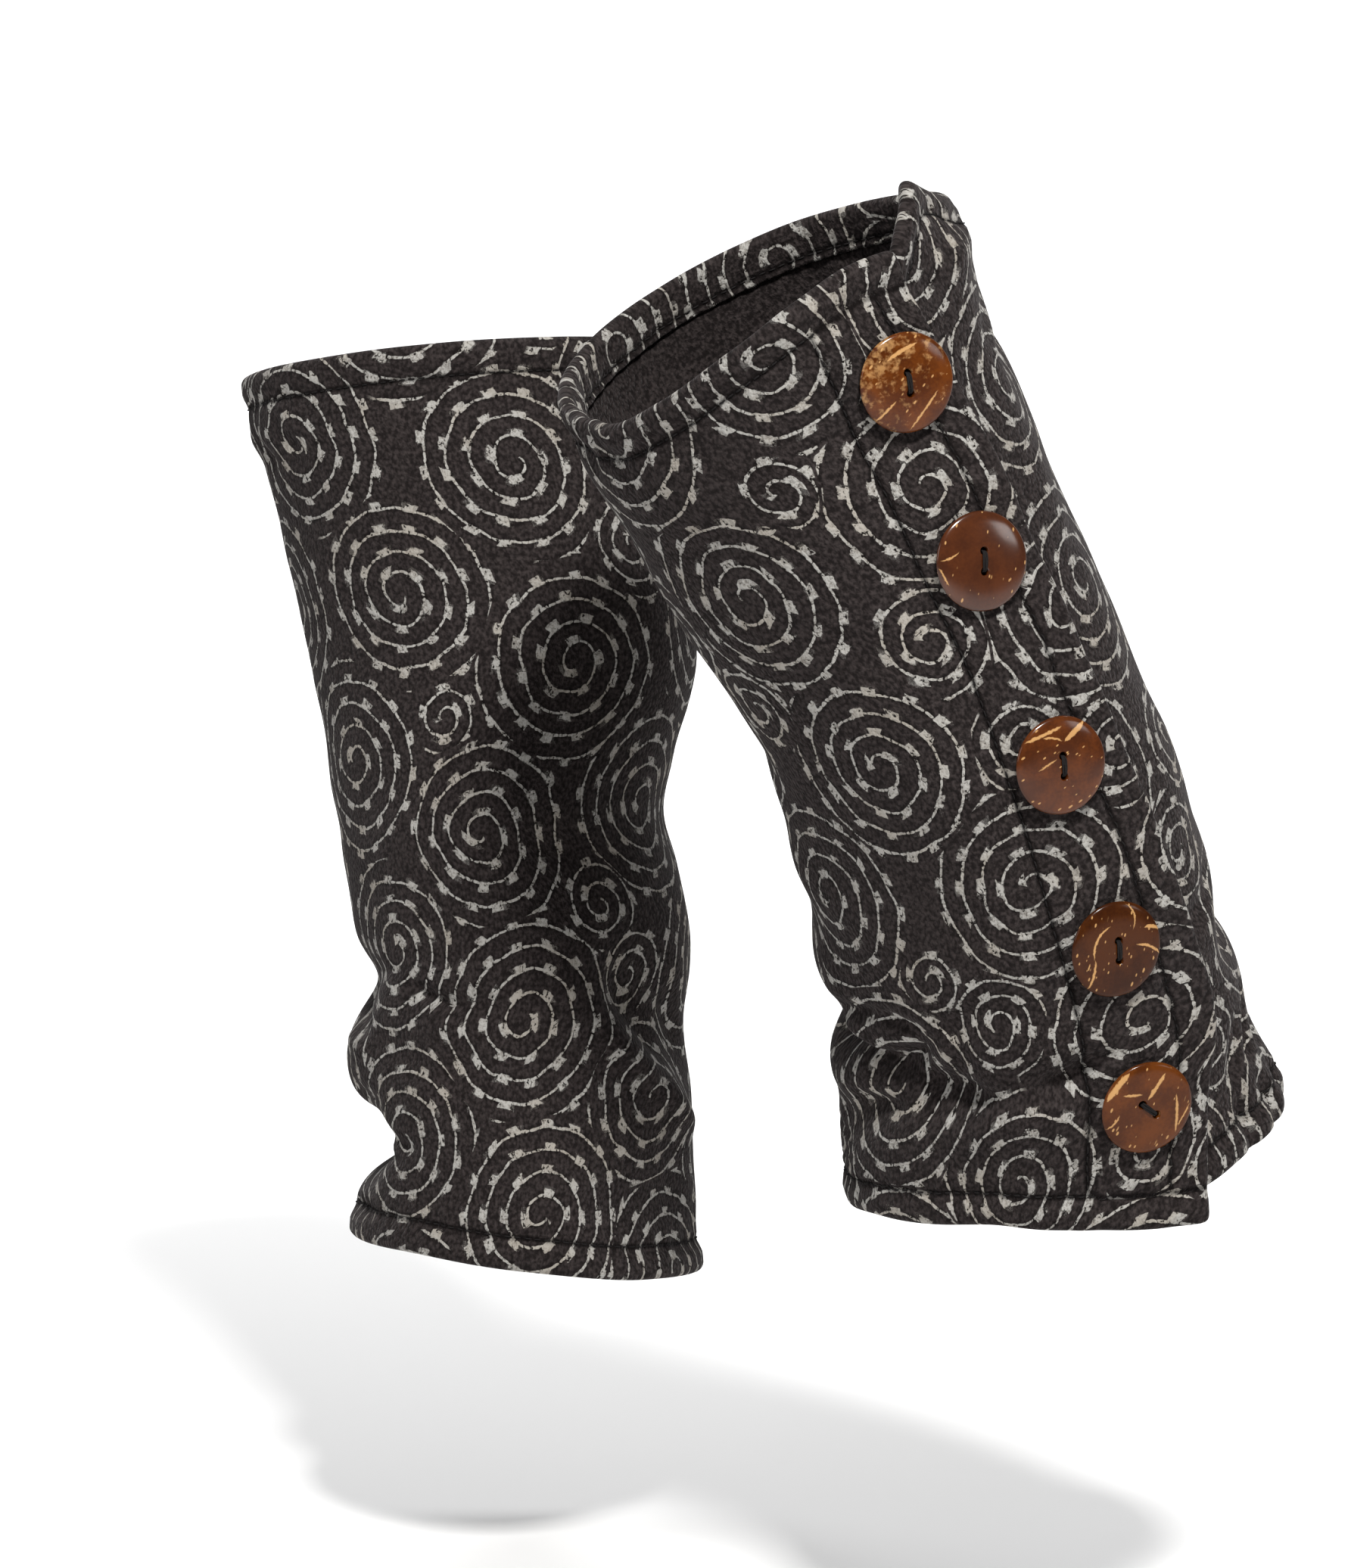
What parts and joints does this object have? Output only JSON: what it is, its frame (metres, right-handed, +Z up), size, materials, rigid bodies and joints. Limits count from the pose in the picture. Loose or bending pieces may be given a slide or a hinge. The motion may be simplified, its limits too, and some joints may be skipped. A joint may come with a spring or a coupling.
{
  "type": "pair of leg warmers",
  "caption": "Pair of worn charcoal fleece leg warmers with a pale spiral print, each buttoned down a side placket with coconut shell buttons.",
  "frame": {"origin": "middle between the two tubes, halfway up, where the wearer's two calves hold them", "axes": "+Z up, -X the front, towards the wearer's toes; -Y the wearer's left, +Y the right; each tube leans by its own angle"},
  "size_m": [0.3209, 0.3343, 0.3661],
  "materials": {
    "fleece": "matt napped fleece with a pale spiral print",
    "shell_buttons": "polished coconut shell with pale fibres"
  },
  "bodies": {
    "root": {"left_panel": "fleece", "left_placket": "fleece", "left_top_hem": "fleece", "left_foot_hem": "fleece", "left_button_1": "shell_buttons", "left_button_2": "shell_buttons", "left_button_3": "shell_buttons", "left_button_4": "shell_buttons", "left_button_5": "shell_buttons", "right_panel": "fleece", "right_placket": "fleece", "right_top_hem": "fleece", "right_foot_hem": "fleece", "right_button_1": "shell_buttons", "right_button_2": "shell_buttons", "right_button_3": "shell_buttons", "right_button_4": "shell_buttons", "right_button_5": "shell_buttons"}
  },
  "joints": []
}
